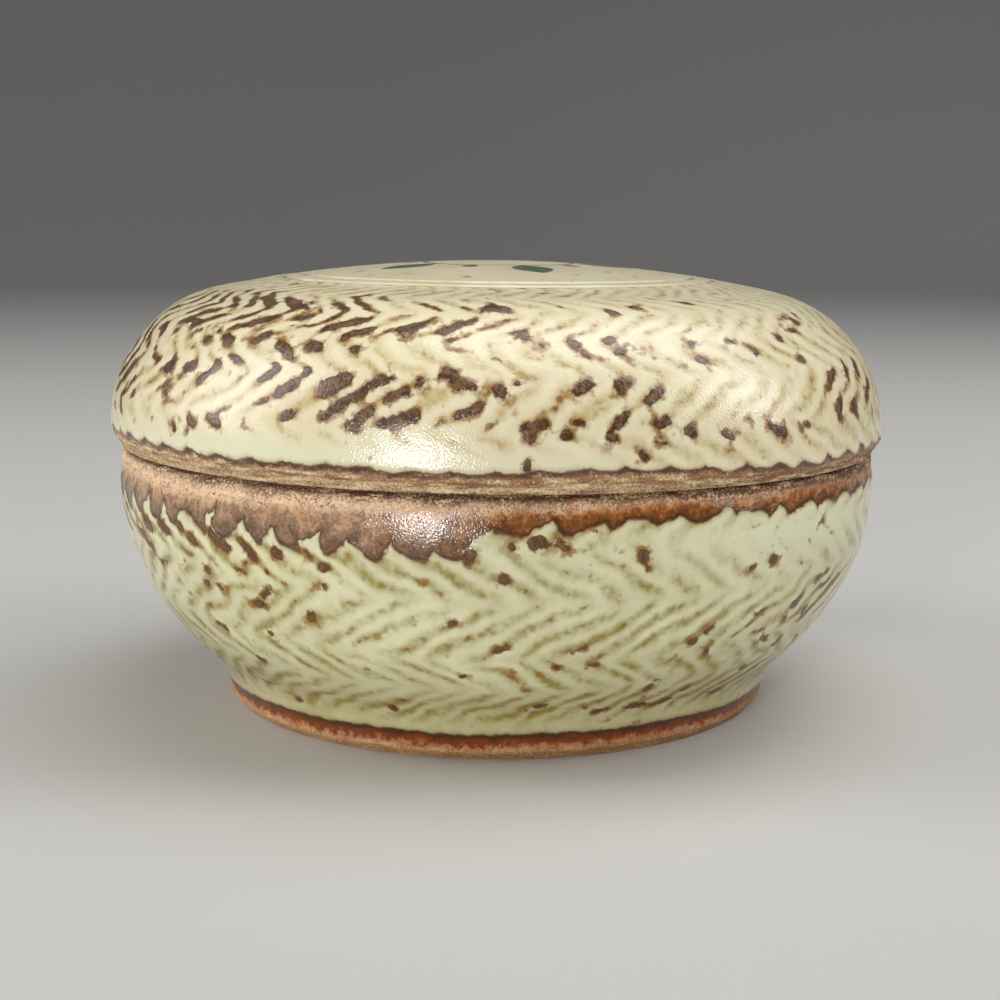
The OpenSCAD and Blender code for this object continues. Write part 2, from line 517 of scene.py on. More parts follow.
# %% Bowl fields
BOWL_STROKES = 64
BOWL_START = 0.42
BOWL_TURNS = (-6, 4.3, 8.6, 14.5, 18.4, 24.6, 32)
BOWL_ROLL = (
    (-180, 0.4), (-110, -0.6), (-55, -0.8), (-12, 0.5), (15, 0.9), (55, 0.2), (120, -0.4),
)
RIM_CLAY = (
    (-180, 1.6), (-100, 2.1), (-55, 2.1), (-30, 1.9), (-10, 1.7), (8, 1.3), (25, 1.0), (60, 1.4),
    (130, 1.5),
)
RIM_BAND = (
    (-180, 3.4), (-130, 3.8), (-60, 4.0), (-40, 4.0), (-30, 4.5), (-12, 4.9), (-5, 5.0), (-1, 3.4),
    (3, 2.9), (13, 3.0), (19, 2.4), (27, 2.4), (34, 2.3), (42, 2.7), (52, 2.6), (70, 2.4), (125, 3.2),
)
RIM_TEETH = (
    (-180, 0.5), (-100, 0.7), (-45, 0.95), (-22, 0.85), (-8, 0.6), (5, 0.40), (25, 0.28), (80, 0.22),
    (130, 0.4),
)
FOOT_CLAY = 1.55
FOOT_BAND = 2.9
FLANGE_CLAY = 2.4
FLANGE_BAND = 3.0
BOWL_IRON = (
    (-72, 6.5, 14, 3.0, 0.90), (-46, 7.5, 26, 2.0, 0.45), (58, 11.5, 14, 4.0, 0.85),
    (34, 22.0, 22, 1.8, 0.45), (60, 19.0, 14, 4.0, 0.70), (36, 14.5, 12, 2.0, 0.55),
    (8, 15.5, 22, 2.0, 0.35), (150, 5.6, 40, 2.4, 0.95), (-150, 12.0, 40, 5.0, 0.55),
    (110, 12.0, 30, 6.0, 0.55),
)
BOWL_VEIL = (
    (45, 5.0, 24, 3.2, 1.0), (-18, 19.5, 16, 2.6, 0.6), (160, 18.0, 40, 4.0, 0.7),
    (-120, 17.0, 30, 3.0, 0.6),
)
BOWL_SWELLS = (
    (-8, 4.7, 9, 2.2, 0.3), (40, 5.5, 16, 3.0, 0.15), (-120, 5.0, 20, 2.4, 0.2), (150, 6.0, 24, 3.0, 0.2),
)
BOWL_MARKS = (
    (-61, 7.3, 4.4, 0.9, 28), (-58.2, 5.9, 3.0, 1.0, 30), (-52.8, 5.6, 2.6, 1.0, 28),
    (-48.2, 5.0, 1.4, 0.9, 20), (-45.5, 6.0, 2.0, 0.8, 22), (-39.7, 5.5, 3.2, 1.2, 30),
    (-34.5, 5.9, 2.6, 0.8, 42), (-29.6, 5.9, 1.6, 1.1, 40), (-24.6, 5.7, 1.1, 0.6, 25),
    (-22.6, 6.8, 1.1, 0.7, 15), (-55.5, 9.1, 1.8, 0.7, -20), (-49.3, 8.6, 1.0, 0.6, -20),
    (-43.6, 8.6, 1.2, 0.8, 10), (-44.4, 9.9, 1.0, 0.7, -20), (-41.3, 9.9, 0.8, 0.7, 0),
    (-35.3, 7.2, 0.7, 0.6, 60), (-34.4, 10.9, 1.5, 1.0, -20), (-32.4, 9.7, 2.2, 0.7, -35),
    (-25.8, 11.4, 1.3, 1.1, 0), (-22.8, 8.5, 0.8, 0.6, 0), (-45.4, 14.3, 2.2, 0.8, 28),
    (-34.3, 14.0, 1.2, 1.0, 0), (-39.6, 17.7, 1.0, 0.8, 0), (-48.5, 20.9, 1.6, 0.7, -35),
    (-46, 22.2, 1.2, 0.6, -15), (-39.3, 24.1, 1.1, 0.6, 0), (1, 7.0, 1.2, 0.9, 15),
    (0.8, 13.7, 1.7, 0.8, -35), (5.2, 3.9, 2.0, 1.5, -10), (8.3, 4.2, 1.7, 0.9, 25),
    (12.4, 3.2, 0.9, 0.9, 0), (2, 4.4, 0.8, 0.7, 0), (-3.3, 4.9, 1.6, 1.2, -10),
    (19.2, 5.4, 1.3, 0.8, 70), (19.5, 6.4, 0.5, 0.5, 0), (-5.5, 11.1, 1.1, 0.6, -10),
    (-4.7, 17, 0.8, 0.6, 20), (3, 16, 0.8, 0.6, 30), (9, 15.9, 0.8, 0.7, 0), (11.7, 14, 1.6, 0.4, -35),
    (14.4, 15.8, 1.1, 0.5, 0), (29.6, 14.1, 1.1, 0.8, -40), (31.6, 13, 1.2, 0.6, -55),
    (33.2, 15.6, 1.2, 0.8, 60), (25.4, 19.9, 1.1, 0.8, 0), (40.2, 12, 1.9, 0.7, -10),
    (49, 11.9, 1.1, 0.9, 0), (48.1, 13.5, 1.1, 0.9, 0), (53.2, 13.3, 1.6, 0.7, -40),
    (53.6, 9.8, 1.2, 0.8, 0), (50.3, 4.2, 0.9, 0.7, 60), (40.2, 6.7, 1.3, 1.1, 0),
    (36.3, 7.2, 0.8, 0.7, 60), (50.6, 16.8, 1.4, 1.0, 0), (45.7, 15.6, 2.2, 0.6, 35),
    (46, 19.4, 1.4, 0.8, 0), (34.4, 21.3, 1.0, 0.7, -20), (44.8, 23.1, 2.0, 0.7, 5),
    (26, 23, 2.5, 0.7, -5), (18.7, 23.2, 1.3, 0.6, -10), (31.6, 23, 2.2, 0.6, -15),
    (7, 22.1, 2.2, 0.5, -30), (-18, 22.9, 0.9, 0.8, 0), (60.8, 11, 1.9, 0.8, -40),
    (110, 7, 1.4, 1.0, -30), (135, 11, 1.0, 0.7, 10), (165, 6, 1.6, 1.1, 20), (-165, 9.5, 1.2, 0.8, -30),
    (-140, 12.5, 0.9, 0.7, 0), (-115, 7, 1.3, 0.9, 30), (-100, 13, 1.0, 0.6, 20), (150, 15, 1.1, 0.6, 15),
)

RIM_FLAT = 0.2
FLANGE_CREST = 1.5
rim_at = bowl["along"][np.argmax(bowl["zone"] == "rim")] + RIM_FLAT
crest_at = bowl["along"][np.argmax(bowl["zone"] == "flange")] + FLANGE_CREST
foot_at = bowl["along"][np.argmax(bowl["zone"] == "rest")]


def bowl_rolled(azimuth, drop):
    """The drop at which the roller's own rows lie, for it didn't run quite level."""
    return drop - round_list(azimuth, BOWL_ROLL) * smooth(drop, 3, 7)


def bowl_fields(shell):
    """The bowl's fields: where glaze begins, how the rope runs, and where the iron is."""
    turn = shell["turn"]
    azimuth = shell["azimuth"]
    drop = shell["along"] - rim_at
    rise = foot_at - shell["along"]
    depth = crest_at - shell["along"]
    outside = np.isin(shell["zone"], ("rim", "side", "foot"))
    inside = shell["zone"] == "inside"
    waver = 0.12 * wander(turn, drop, 11, turns=(1, 14))
    ragged = 0.16 * quick_wander(turn, 0 * drop, 12)
    near_rim = smooth(-drop, -11, -6)
    clay_out = np.minimum(drop - round_list(azimuth, RIM_CLAY), rise - FOOT_CLAY) + waver
    band = round_list(azimuth, RIM_BAND)
    rim_pale = drop - band + ragged
    pale_out = np.minimum(rim_pale, rise - FOOT_BAND + 0.8 * waver)
    clay = np.where(outside, clay_out, np.where(inside, depth - FLANGE_CLAY + waver, -1.0))
    pale = np.where(outside, pale_out, np.where(inside, depth - FLANGE_BAND + waver, -2.0))
    uneven = 1 + 0.35 * quick_wander(turn, 0 * drop, 13)
    tooth = np.where(outside, round_list(azimuth, RIM_TEETH) * uneven * near_rim, 0) + 0.05
    rolled = bowl_rolled(azimuth, drop) + TURN_JITTER * quick_wander(turn, drop, 24)
    strokes = BOWL_START + STROKES_PER_MM * zigzag(rolled, BOWL_TURNS)
    lean = strokes - BOWL_START - STROKES_PER_MM * zigzag(bowl_rolled(azimuth, band), BOWL_TURNS)
    strokes += 0.10 * wander(turn, drop, 21, turns=(1, 4)) + 0.06 * quick_wander(turn, drop, 23)
    rope = np.where(outside, smooth(rise, 3.4, 5.4), 0)
    return {
        "strokes": strokes, "rows": drop, "clay": clay, "pale": pale, "tooth": tooth, "rope": rope,
        "iron": np.where(outside, patches(azimuth, drop, BOWL_IRON), -1),
        "veil": np.where(outside, patches(azimuth, drop, BOWL_VEIL), 0),
        "mark": np.where(outside, marks(azimuth, drop, shell["radius"], BOWL_MARKS), -1),
        "scallop": smooth(azimuth, -4, 10) * smooth(-azimuth, -150, -110),
        "lean": lean * near_rim, "turning": turning(rolled, BOWL_TURNS), "groove": np.zeros_like(turn),
        "swell": np.where(outside, patches(azimuth, drop, BOWL_SWELLS), 0),
        "hidden": np.where(outside, 0.0, 1.0),
    }


bowl_work = bowl_fields(bowl_shell)
print("bowl marks:", len(BOWL_MARKS), "wall from rim to foot in mm:", round(foot_at - rim_at, 1))

# %% [markdown]
# ## The lid's own fields
# Places on the lid's outside are given by their climb, the distance up from the widest ring. The pale
# glaze stops just above the lip in shallow scallops, one for each stroke, and the iron is strongest on
# the left. These fields are made in the same way as the bowl's.

# %% Lid fields
LID_STROKES = 66
LID_START = -0.09
LID_TURNS = (-6, 3.3, 7.7, 11.5, 15.2, 18.9, 22.6, 30)
LID_SHIFTS = (
    (-90, 0), (5.5, 0), (9.6, 0.35), (13.3, -0.15), (17, 0), (90, 0),
)
LIP_CLAY = 0.5
HOLLOW_CLAY = 0.8
HOLLOW_BAND = 1.4
LIP_GLAZE = (
    (-180, 0.0), (-60, 0.1), (-30, 0.0), (-18, 0.1), (-12, -0.15), (0, 0.0), (15, 0.2), (25, 0.1),
    (40, -0.45), (46, -0.5), (54, -0.15), (70, -0.1), (130, 0.1),
)
LIP_TEETH = (
    (-180, 0.30), (-80, 0.36), (-45, 0.26), (-25, 0.10), (8, 0.08), (25, 0.22), (55, 0.34), (130, 0.32),
)
LID_IRON = (
    (-72, 7.5, 16, 7.0, 1.15), (-52, 6.5, 10, 3.6, 0.90), (-52, 15.8, 24, 3.8, 1.25),
    (-41, 10.5, 9, 3.2, 0.95), (-26, 16.8, 14, 3.0, 1.05), (-32, 6.0, 9, 2.8, 0.75),
    (-10, 13.2, 14, 3.0, 0.90), (8, 4.5, 22, 2.5, 0.30), (60, 5.0, 16, 3.0, 0.55),
    (20, 11.0, 30, 3.0, 0.30), (120, 8.0, 30, 6.0, 0.55), (-150, 10.0, 40, 7.0, 1.00),
    (170, 4.0, 30, 2.0, 0.85),
)
LID_VEIL = (
    (-36, 0.6, 34, 2.4, 1.0), (4, 0.2, 24, 2.0, 0.8), (46, 0.2, 14, 1.4, 0.35), (40, 17.5, 45, 3.0, 0.45),
    (34, 12.5, 28, 4.0, 0.25), (150, 1.0, 40, 2.0, 0.8), (-120, 1.0, 30, 2.0, 0.8),
)
LID_MARKS = (
    (-21.2, 6.8, 3.6, 1.7, 25), (-19.6, 5.2, 4.6, 0.9, 35), (-14.8, 7.2, 2.5, 1.0, 28),
    (-17.5, 3.9, 3.2, 1.1, 28), (-12.2, 3.9, 3.8, 1.0, 14), (-12.5, 6.1, 2.3, 0.8, 25),
    (-9.6, 7.1, 1.3, 0.8, 50), (-6.4, 7.9, 1.9, 0.9, 10), (-3.8, 7.1, 2.4, 1.0, -12),
    (-3.2, 4.9, 2.7, 0.6, 25), (0.6, 6.5, 2.1, 0.9, 22), (2.6, 7.2, 0.9, 0.7, 0),
    (4.0, 3.1, 1.7, 1.0, -45), (5.0, 3.7, 1.7, 0.6, 10), (8.2, 2.9, 1.4, 0.9, -10),
    (14, 2.8, 1.4, 1.3, 0), (15.5, 4.0, 1.8, 0.9, 50), (11.4, 6.8, 2.4, 0.8, 22),
    (16.6, 7.1, 2.0, 1.2, 20), (20.6, 5.9, 2.3, 0.8, 40), (21.4, 3.8, 1.6, 0.7, 15),
    (20.6, 2.2, 1.2, 0.5, -25), (25, 3.0, 1.4, 0.9, 30), (10.5, 3.9, 0.9, 0.5, 0),
    (3.7, 0.7, 1.3, 0.95, 80), (18.2, 1.2, 0.8, 0.5, -50), (30.5, 2.4, 1.8, 0.9, -30),
    (39, 2.8, 2.2, 0.8, -25), (44.8, 2.8, 1.5, 0.7, -25), (54, 3.8, 2.1, 1.4, 50),
    (59.2, 3.7, 1.9, 1.2, 45), (54.5, 6.5, 2.7, 0.5, 35), (60, 6.8, 2.1, 0.8, 30),
    (66, 4.3, 1.8, 1.0, 40), (66, 7.0, 2.0, 0.9, 30), (52.3, 11.7, 1.6, 0.9, -5),
    (56.3, 13.1, 1.8, 1.0, 15), (46.7, 11.1, 0.8, 0.6, 20), (39, 9.6, 1.3, 0.8, -25),
    (36, 10.9, 1.2, 0.6, -30), (49, 8.7, 0.8, 0.6, 0), (-0.3, 16, 2.7, 1.6, -10),
    (24.2, 16.2, 1.2, 0.8, -40), (19, 15.3, 1.0, 0.7, 0), (35.6, 17.2, 1.1, 0.6, 15),
    (11, 11.3, 1.0, 0.7, 20), (6.3, 11.2, 0.8, 0.6, 0), (16, 11.5, 1.1, 0.6, 30),
    (3.5, 12.1, 1.8, 0.8, 25), (18.7, 10.4, 2.0, 0.8, 0), (29.5, 11, 1.2, 0.5, 0),
    (29.3, 9, 1.1, 0.6, -40), (-31.2, 9.8, 3.0, 0.9, -28), (-26.5, 10.4, 1.7, 1.0, -20),
    (-26, 7.7, 0.9, 0.7, 0), (-23.8, 13.2, 4.3, 1.0, 24), (-20.8, 12.1, 3.3, 0.9, 18),
    (-19.8, 10.3, 1.1, 0.6, 20), (-12.8, 12.7, 2.7, 1.0, 25), (-6.8, 12.7, 2.3, 0.8, 30),
    (-27.5, 3.9, 1.3, 1.0, -40), (-28.5, 6.2, 2.4, 0.7, 35), (-39.5, 12.8, 3.6, 1.0, 38),
    (-36.5, 11, 2.2, 0.9, 60), (-43, 10.4, 2.1, 0.8, -30), (-46.5, 11.1, 1.1, 0.8, 0),
    (-48, 10, 1.2, 0.9, -20), (-52, 10.9, 1.6, 1.0, 10), (-52.5, 6.9, 1.7, 1.4, 0),
    (-47.5, 7.2, 2.0, 1.3, -10), (-43, 7.0, 3.0, 0.8, 48), (-51, 4.6, 2.1, 0.7, 30),
    (-47, 2.0, 1.1, 1.0, 0), (-43.5, 2.8, 1.1, 0.8, -25), (-39.5, 3.0, 2.0, 0.6, -20),
    (-36.5, 16.2, 5.0, 1.1, -25), (-45.5, 16.6, 4.4, 1.1, -22), (-56, 12.0, 4.0, 1.2, 0),
    (-32, 13.8, 2.0, 0.8, 30), (-51.5, 15, 1.8, 1.2, -25), (100, 6, 1.3, 0.8, 20),
    (140, 10, 1.2, 0.8, -20), (175, 6, 1.5, 1.0, 30), (-130, 4, 1.3, 0.9, -30),
)
widest_at = lid["along"][np.argmax(lid["zone"] == "lip")]
hollow_at = lid["along"][np.argmax(lid["zone"] == "inside")]


def ring_depth(shell):
    """Depth of the two grooves cut round the roundel, 0 to 1."""
    depth = np.zeros_like(shell["radius"])
    for radius in (RING_RADIUS, RING_RADIUS - RING_SPACING):
        across = (shell["radius"] - radius) / (RING_WIDTH / 2)
        depth = np.maximum(depth, np.sqrt(np.clip(1 - across**2, 0, 1)))
    return np.where(shell["zone"] == "rings", depth, 0)


def lid_fields(shell):
    """The lid's fields: where glaze begins, how the rope runs, and where the iron is."""
    turn = shell["turn"]
    azimuth = shell["azimuth"]
    climb = widest_at - shell["along"]
    depth = shell["along"] - hollow_at
    outside = np.isin(shell["zone"], ("roundel", "rings", "side", "lip"))
    inside = shell["zone"] == "inside"
    waver = 0.06 * wander(turn, climb, 31, turns=(1, 14))
    over_lip = climb - round_list(azimuth, LIP_GLAZE) + waver
    clay = np.where(outside, over_lip + LIP_CLAY, np.where(inside, depth - HOLLOW_CLAY + waver, -1.0))
    pale = np.where(outside, over_lip, np.where(inside, depth - HOLLOW_BAND + waver, -2.0))
    uneven = 1 + 0.3 * quick_wander(turn, 0 * climb, 33)
    tooth = np.where(outside, round_list(azimuth, LIP_TEETH) * uneven * smooth(-climb, -6, -2), 0) + 0.02
    rolled = climb + TURN_JITTER * quick_wander(turn, climb, 44)
    strokes = LID_START + STROKES_PER_MM * zigzag(rolled, LID_TURNS)
    lean = strokes - LID_START - STROKES_PER_MM * zigzag(round_list(azimuth, LIP_GLAZE), LID_TURNS)
    strokes += np.interp(climb, *np.array(LID_SHIFTS, float).T)
    strokes += 0.08 * wander(turn, climb, 41, turns=(1, 4)) + 0.05 * quick_wander(turn, climb, 43)
    right_half = smooth(azimuth, 2, 20) * smooth(-azimuth, -150, -110)
    lip_fade = smooth(climb + 1.4 * right_half, 0.6, 2.6)
    edge_fade = lip_fade * smooth(shell["radius"], RING_RADIUS - 0.4, RING_RADIUS + 0.6)
    return {
        "strokes": strokes, "rows": climb, "clay": clay, "pale": pale, "tooth": tooth,
        "rope": np.where(outside, edge_fade, 0),
        "iron": np.where(outside, 0.05 + patches(azimuth, climb, LID_IRON), -1),
        "veil": np.where(outside, patches(azimuth, climb, LID_VEIL), 0),
        "mark": np.where(outside, marks(azimuth, climb, shell["radius"], LID_MARKS), -1),
        "scallop": np.ones_like(turn), "lean": lean * smooth(-climb, -3, -1),
        "turning": turning(rolled, LID_TURNS), "groove": ring_depth(shell), "swell": np.zeros_like(turn),
        "hidden": np.where(outside, 0.0, 1.0),
    }


lid_work = lid_fields(lid_shell)
print("lid marks:", len(LID_MARKS), "shoulder and crown in mm:", round(widest_at, 1))

# %% [markdown]
# ## Relief and the two meshes
# The relief is small but real: gaps lie a little below the strokes, glaze stands above bare clay and
# thickens to a bead at its edge, iron spots are raised, clay is rough, and the wheel left slow waves on
# the walls and turning rings under the foot. Each is a push along the surface's own direction. A
# displacement in the shader could do the same, but it would be lost when the mesh is exported. The whole
# box also leans by a fraction of a degree, as fired pots do.

# %% Relief
STROKE_DEPTH = 0.03
GLAZE_STEP = 0.2
GLAZE_BEAD = 0.05
MARK_HEIGHT = 0.04
CLAY_GRAIN = 0.03
WHEEL_WAVE = 0.08
TURNING_DEPTH = 0.10
TURNING_PITCH = 5.2
LEAN = math.tan(math.radians(0.2))


def relief(shell, work, count, seed):
    """How far each point is pushed out of the plain section, in mm."""
    phase = count * shell["turn"] + work["strokes"]
    into_pale = work["pale"] + work["tooth"] * edge_wave(phase - UPRIGHT * work["lean"], work["scallop"])
    across_band = np.clip(work["clay"] / np.maximum(work["clay"] - into_pale, 0.05), 0, 1)
    glazed = smooth(into_pale, -0.15, 0.25)
    push = GLAZE_STEP * np.maximum(glazed, 0.9 * across_band * (work["clay"] > 0)) - GLAZE_STEP
    push += GLAZE_BEAD * np.exp(-(((into_pale - 0.35) / 0.4) ** 2)) * glazed
    trough = (0.5 - 0.5 * np.cos(2 * np.pi * phase)) ** GAP_POWER * (1 - 0.6 * work["veil"])
    push -= STROKE_DEPTH * trough * work["rope"] * glazed
    push += work["swell"]
    push += MARK_HEIGHT * smooth(work["mark"], -0.1, 0.3) * glazed
    push -= RING_WIDTH / 2 * work["groove"]
    grain = np.random.default_rng(seed).normal(size=len(push))
    push += CLAY_GRAIN * grain * smooth(-work["clay"], -0.1, 0.3)
    wheel = WHEEL_WAVE * wander(shell["turn"], shell["along"], seed + 1, turns=(1, 3), reach=14)
    push += wheel * np.isin(shell["zone"], ("side", "inside"))
    spiral = shell["radius"] / TURNING_PITCH + shell["turn"]
    push += TURNING_DEPTH * np.cos(2 * np.pi * spiral) * (shell["zone"] == "under")
    return np.where(np.isin(shell["zone"], ("rest", "seat")), 0, push)


bowl_push = relief(bowl_shell, bowl_work, BOWL_STROKES, 51)
lid_push = relief(lid_shell, lid_work, LID_STROKES, 61)
print("relief in mm:", round(bowl_push.min(), 2), "to", round(bowl_push.max(), 2), "on the bowl")

# %% Meshes
FIELDS = (
    "clay", "pale", "tooth", "scallop", "lean", "turning",
    "rope", "iron", "veil", "mark", "groove", "hidden",
)


def build_piece(name, shell, push, work, count):
    """A swept shell as an object, with its rope map and its fields."""
    radius = shell["radius"] + push * shell["out"]
    height = shell["height"] + push * shell["up"]
    angle = np.radians(shell["azimuth"])
    x = radius * np.sin(angle)
    y = -radius * np.cos(angle)
    z = np.maximum(height - LEAN * x * np.minimum(height / RIM_HEIGHT, 1), 0)
    mesh = bpy.data.meshes.new(name)
    mesh.from_pydata((np.stack([x, y, z], axis=1) * MM).tolist(), [], shell["faces"])
    mesh.shade_smooth()
    corner = np.zeros(len(mesh.loops), dtype=np.int32)
    mesh.loops.foreach_get("vertex_index", corner)
    rope = np.stack([count * shell["corner_turn"] + work["strokes"][corner], work["rows"][corner]], axis=1)
    mesh.uv_layers.new(name="rope").data.foreach_set("uv", rope.astype(np.float32).ravel())
    for field in FIELDS:
        attribute = mesh.attributes.new(field + "_field", "FLOAT", "POINT")
        attribute.data.foreach_set("value", work[field].astype(np.float32))
    return show(bpy.data.objects.new(name, mesh))


bowl_piece = build_piece("bowl_stoneware", bowl_shell, bowl_push, bowl_work, BOWL_STROKES)
lid_piece = build_piece("lid_stoneware", lid_shell, lid_push, lid_work, LID_STROKES)
for piece in (bowl_piece, lid_piece):
    print(piece.name, "size in mm:", [round(side / MM, 2) for side in piece.dimensions])

# %% [markdown]
# ## Node helpers
# Materials are built from a few kinds of node over and over: sums, smooth steps, noise and colour mixes.
# Each could be added and linked by hand, but then a formula is lost among the links. Here a wire stands
# for one output in a node tree, and arithmetic on wires adds the Math nodes, so that a finish reads as it
# is written.


# %% Node helpers
class Wire:
    """One output in a node tree. Arithmetic on it adds Math nodes to that tree."""

    def __init__(self, tree, socket):
        self.tree = tree
        self.socket = socket

    def __add__(self, other):
        return calc("ADD", self, other)

    def __sub__(self, other):
        return calc("SUBTRACT", self, other)

    def __rsub__(self, other):
        return calc("SUBTRACT", other, self)

    def __mul__(self, other):
        return calc("MULTIPLY", self, other)

    def __truediv__(self, other):
        return calc("DIVIDE", self, other)

    def __neg__(self):
        return calc("MULTIPLY", self, -1.0)

    __radd__ = __add__
    __rmul__ = __mul__


def add_node(kind, values=(), labels=None, tree=None, **settings):
    """Adds a node to a tree, or beside its first wire, and feeds its inputs. Returns its outputs."""
    if tree is None:
        tree = next(value.tree for value in values if isinstance(value, Wire))
    node = tree.nodes.new("ShaderNode" + kind)
    for name, setting in settings.items():
        setattr(node, name, setting)
    for label, value in zip(labels or range(len(values)), values):
        if isinstance(value, Wire):
            tree.links.new(value.socket, node.inputs[label])
        else:
            node.inputs[label].default_value = value
    return [Wire(tree, socket) for socket in node.outputs]


def calc(operation, *values):
    """One step of arithmetic."""
    return add_node("Math", values, operation=operation)[0]


def ramp(value, low, high):
    """0 at low, 1 at high, and a smooth step between."""
    return add_node("MapRange", (value, low, high), interpolation_type="SMOOTHSTEP")[0]


def cloud(place, size, detail=2.0):
    """Noise around 0 with lumps of about this size in mm."""
    return add_node("TexNoise", (place, 1 / size, detail), ("Vector", "Scale", "Detail"))[0] - 0.5


def tint(share, below, above):
    """The colour below where share is 0, and above where it is 1."""
    return add_node("Mix", (share, below, above), (0, 6, 7), data_type="RGBA")[2]


def between(share, below, above):
    """The number below where share is 0, and above where it is 1."""
    return add_node("Mix", (share, below, above), (0, 2, 3))[0]


def paint(red, green, blue):
    """A colour as it looks on a screen, 0 to 255, as the linear colour that a shader needs."""
    shares = [value / 255 for value in (red, green, blue)]
    linear = [c / 12.92 if c <= 0.04045 else ((c + 0.055) / 1.055) ** 2.4 for c in shares]
    return (*linear, 1)


# %% Group helpers
def build_group(name, formula, vectors, numbers="", colours=""):
    """A node group made by a formula: a function from its inputs, as wires, to its named outputs."""
    group = bpy.data.node_groups.new(name, "ShaderNodeTree")
    for kind, labels in (("Vector", vectors), ("Float", numbers), ("Color", colours)):
        for label in labels.split():
            group.interface.new_socket(label, in_out="INPUT", socket_type="NodeSocket" + kind)
    source = group.nodes.new("NodeGroupInput")
    results = formula(*(Wire(group, socket) for socket in source.outputs if socket.name))
    sink = group.nodes.new("NodeGroupOutput")
    for label, wire in results.items():
        kind = "Color" if wire.socket.type == "RGBA" else "Float"
        group.interface.new_socket(label, in_out="OUTPUT", socket_type="NodeSocket" + kind)
        group.links.new(wire.socket, sink.inputs[label])
    print(name, "nodes:", len(group.nodes))
    return group


def place_group(group, values):
    """A node group placed in a material, with its inputs fed by name. Returns its outputs by name."""
    outputs = add_node("Group", tuple(values.values()), tuple(values), node_tree=group)
    return {wire.socket.name: wire for wire in outputs}


# %% [markdown]
# ## Rope inlay
# The group works out the strokes from the rope map and roughens them with noise. It finds the gaps
# between the strokes, pinched where the rows turn so that they don't swell there; the trough that the
# glaze pools in, which fades at the turns and here and there along each gap; and bars along the gaps
# where iron gathered, with rust round them. Each gap has its own noise along its length, so that bars in
# neighbouring gaps start and end where they like; the iron field raises it, so that bars are long in some
# places and rare in others. A picture of the strokes could be wrapped round the piece instead, but it
# would blur from close by.

# %% Rope inlay group
FULL_TURN = 2 * math.pi
LINE_NOISE = 5.37
FADE_NOISE = 31.7
MARKS_PER_MM = 0.45
FADES_PER_MM = 0.22
BAR_PINCH = 0.45
TURN_FADE = 0.6


def line_cloud(number, rows, rate, shift):
    """Noise around 0 that each gap has of its own along its length."""
    line = add_node("CombineXYZ", (LINE_NOISE * number + shift, rate * rows))[0]
    return cloud(line, 1.0, 1.0)


def rope_inlay(rope, place, strokes, turned, iron, strength):
    """The strokes' phase, the gaps, the troughs, the rust and the bars of iron."""
    across, rows, _ = add_node("SeparateXYZ", (rope,))
    phase = across + 0.46 * cloud(place, 1.6) + 0.50 * cloud(place, 4.0) + 0.14 * cloud(place, 0.5)
    valley = 0.5 - 0.5 * calc("COSINE", FULL_TURN * phase)
    pinch = BAR_PINCH * turned
    gap = calc("MAXIMUM", valley - pinch, 0.0) / (1.0 - pinch) * strength
    number = calc("FLOORED_MODULO", calc("FLOOR", phase), strokes)
    level = 2.6 * line_cloud(number, rows, MARKS_PER_MM, 0.0) + 1.2 * cloud(place, 1.8) + iron
    need = between(ramp(level, 0.35, 1.15), 1.5, 0.60)
    rust_need = between(ramp(level, 0.3, 1.0), 1.5, 0.50)
    clear = 1.5 * line_cloud(number, rows, FADES_PER_MM, FADE_NOISE) + 0.72
    clear = clear + cloud(place, 2.2) + 1.6 * cloud(place, 0.7)
    trough = calc("POWER", valley, GAP_POWER) * (1.0 - TURN_FADE * turned) * strength
    return {
        "Phase": phase, "Gap": gap, "Trough": trough * calc("MAXIMUM", clear, 0.1),
        "Rust": ramp(gap - rust_need, -0.25, 0.35), "Bars": gap - need,
    }


rope_group = build_group("rope inlay", rope_inlay, "Rope Place", "Strokes Turning Iron Strength")

# %% [markdown]
# ## Iron spots
# Grains of iron in the clay melt and burn through the glaze as dark, slightly raised marks with a rusty
# rim. The larger ones are placed one by one in a field on the mesh, drawn a little along the gaps, and
# frayed by noise. The bars of the rope join them, and the smallest are left to cell patterns, of which
# only a few cells hold a dot. Round them iron bleeds into the glaze as a patchy halo, and it stains the
# gaps nearby. All of them could be painted in a picture, but a field stays sharp, and the mesh raises the
# same marks.


# %% Iron spot group
def cell_dots(place, spacing, growth, least):
    """How far a place lies inside the dots of a cell pattern. Most cells' dots are too small to show."""
    distance, colour = add_node("TexVoronoi", (place, 1 / spacing), ("Vector", "Scale"))[:2]
    lot = add_node("SeparateColor", (colour,))[0]
    return growth * lot + least - distance


def iron_spots(place, mark, bars, gap, follow, bleed):
    """The halo, the dark marks, their cores and the stain in the gaps."""
    ragged = 0.50 * cloud(place, 0.5) + 1.15 * cloud(place, 1.1)
    pulled = mark + follow * (gap - 0.25)
    edge = calc("MAXIMUM", pulled, bars) + ragged
    both = calc("MAXIMUM", edge, 2.2 * cell_dots(place, 2.6, 0.30, -0.20) + 0.4 * ragged)
    speck = 0.55 * ramp(cell_dots(place, 1.3, 0.5, -0.32), -0.08, 0.10)
    halo = ramp(both + 0.9 * ragged, -bleed, 0.04) * ramp(cloud(place, 1.5), -0.22, 0.08)
    near_mark = ramp(mark + 1.6 * cloud(place, 0.9), -0.9, -0.1)
    return {
        "Halo": calc("MAXIMUM", halo, speck), "Dark": ramp(both, -0.06, 0.16),
        "Core": ramp(both, 0.02, 0.30), "Stain": near_mark * ramp(gap, 0.4, 0.9),
    }


spot_group = build_group("iron spots", iron_spots, "Place", "Mark Bars Gap Follow Bleed")

